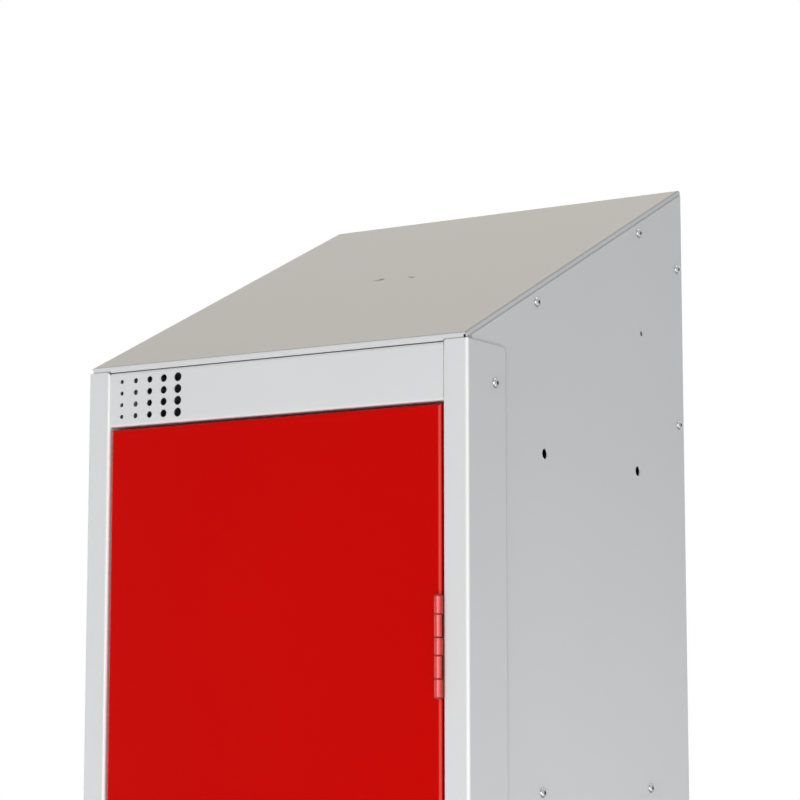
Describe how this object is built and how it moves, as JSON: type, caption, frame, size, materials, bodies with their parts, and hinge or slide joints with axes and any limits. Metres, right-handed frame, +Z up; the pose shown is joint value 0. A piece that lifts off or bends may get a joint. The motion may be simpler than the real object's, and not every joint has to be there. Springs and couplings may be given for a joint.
{
  "type": "sloping top steel locker",
  "caption": "Tall narrow steel locker with a sloping top, a right-hung door on knuckle hinges, a turning cam lock, a hat shelf and a double coat hook.",
  "frame": {"origin": "on the floor, midway across the width and midway between the hinge knuckles and the back", "axes": "+Z up, +X towards the hinge side seen from the front, +Y from the door to the back"},
  "size_m": [0.309, 0.3093, 1.929],
  "materials": {
    "grey_paint": "light grey powder coat, semi-gloss",
    "top_paint": "grey powder coat, satin",
    "red_paint": "red powder coat, semi-gloss",
    "rivet_aluminium": "bright pop rivet",
    "zinc_steel": "bright zinc plate",
    "lock_chrome": "polished",
    "rubber": "matt black"
  },
  "bodies": {
    "cabinet": {"left_side_panel": "grey_paint", "right_side_panel": "grey_paint", "back_panel": "grey_paint", "sloping_top": "top_paint", "left_front_post": "grey_paint", "right_front_post": "grey_paint", "header_rail": "grey_paint", "bottom_rail": "grey_paint", "base_pan": "grey_paint", "hat_shelf": "grey_paint", "coat_hook": "zinc_steel", "coat_hook_rivets": "rivet_aluminium", "door_buffers": "rubber", "hinge_frame_leaf_top": "red_paint", "hinge_frame_leaf_middle": "red_paint", "hinge_frame_leaf_bottom": "red_paint", "hinge_pin_top": "red_paint", "hinge_pin_middle": "red_paint", "hinge_pin_bottom": "red_paint", "top_rivets": "rivet_aluminium", "back_rivets": "rivet_aluminium", "post_rivets": "rivet_aluminium", "shelf_rivets": "rivet_aluminium", "base_rivets": "rivet_aluminium"},
    "door": {"door_panel": "red_paint", "door_stiffener": "red_paint", "hinge_door_leaf_top": "red_paint", "hinge_door_leaf_middle": "red_paint", "hinge_door_leaf_bottom": "red_paint", "lock_housing": "lock_chrome", "lock_nut": "zinc_steel"},
    "lock_cylinder": {"lock_plug": "lock_chrome", "lock_cam": "zinc_steel", "lock_cam_bolt": "zinc_steel"}
  },
  "joints": [
    {"name": "door_swing", "type": "hinge", "parent": "cabinet", "child": "door", "pos_m": [0.1315, -0.15215, 0.9009], "axis": [0, 0, 1], "range_deg": [0, 180]},
    {"name": "lock_turn", "type": "hinge", "parent": "door", "child": "lock_cylinder", "pos_m": [-0.10478, -0.13, 0.95], "axis": [0, -1, 0], "range_deg": [0, 90]}
  ]
}
